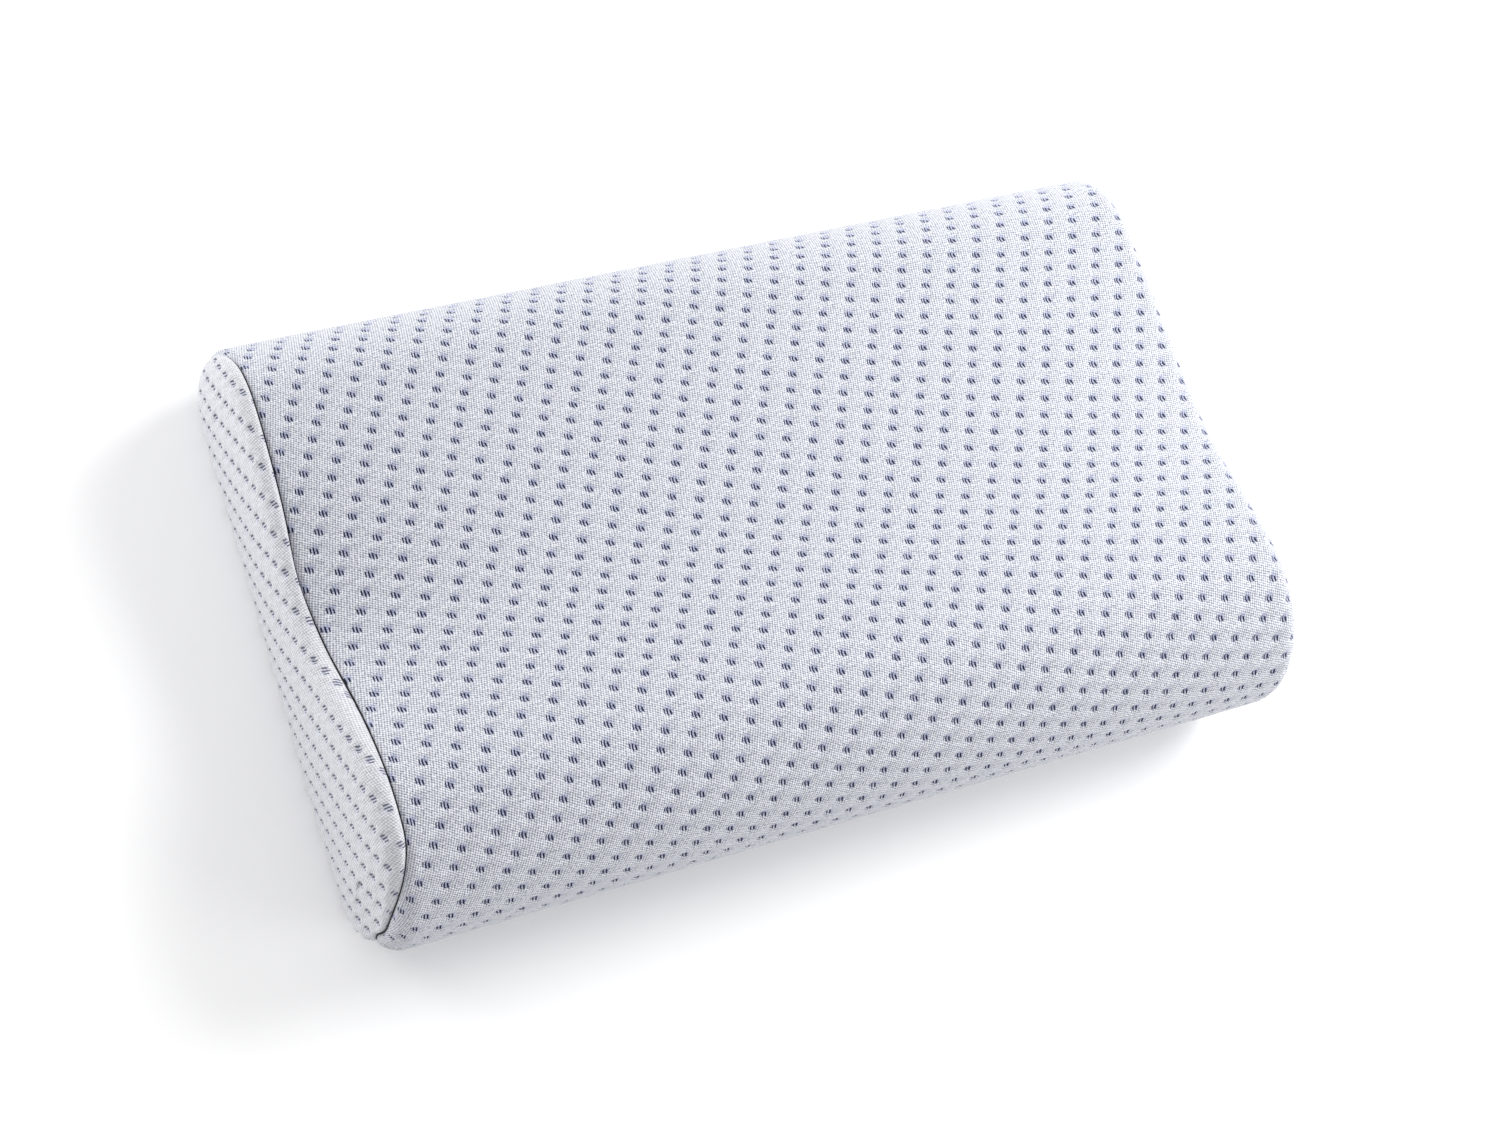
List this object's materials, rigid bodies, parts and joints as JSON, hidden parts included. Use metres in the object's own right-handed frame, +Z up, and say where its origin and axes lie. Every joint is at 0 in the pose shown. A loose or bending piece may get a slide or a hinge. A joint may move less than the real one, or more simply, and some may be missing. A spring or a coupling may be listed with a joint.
{
  "type": "contour bed pillow",
  "caption": "Contour bed pillow: a moulded foam core with a high and a low lobe and a neck dip, in a zipped knit cover.",
  "frame": {"origin": "middle of the flat underside", "axes": "+X along the pillow's length towards the right end, +Y to the low back lobe and the zip, +Z up"},
  "size_m": [0.5084, 0.3072, 0.1033],
  "materials": {
    "air_layer_knit": "white and pale grey air-layer jacquard knit with small blue dots in dimples",
    "memory_foam": "off-white moulded memory foam, fine open cells",
    "inner_jersey": "thin white jersey",
    "zip_tape": "white woven polyester tape",
    "nylon_coil": "white nylon coil",
    "plated_zinc": "bright nickel-plated zinc"
  },
  "bodies": {
    "pillow": {"foam_core": "memory_foam", "inner_cover": "inner_jersey", "top_panel": "air_layer_knit", "bottom_panel": "air_layer_knit", "end_panel_left": "air_layer_knit", "end_panel_right": "air_layer_knit", "zip_tape_upper": "zip_tape", "zip_tape_lower": "zip_tape", "zip_coil_upper": "nylon_coil", "zip_coil_lower": "nylon_coil", "zip_stop_closed_end": "nylon_coil", "zip_stop_open_end": "nylon_coil"},
    "slider": {"zip_slider_body": "plated_zinc"},
    "pull_tab": {"zip_pull_tab": "plated_zinc"}
  },
  "joints": [
    {"name": "zip_slide", "type": "slide", "parent": "pillow", "child": "slider", "axis": [1, 0, 0], "range_m": [0, 0.4484]},
    {"name": "tab_hinge", "type": "hinge", "parent": "slider", "child": "pull_tab", "pos_m": [-0.2242, 0.15125, 0.01916], "axis": [0, 0.3797, 0.9251], "range_deg": [0, 180]}
  ]
}
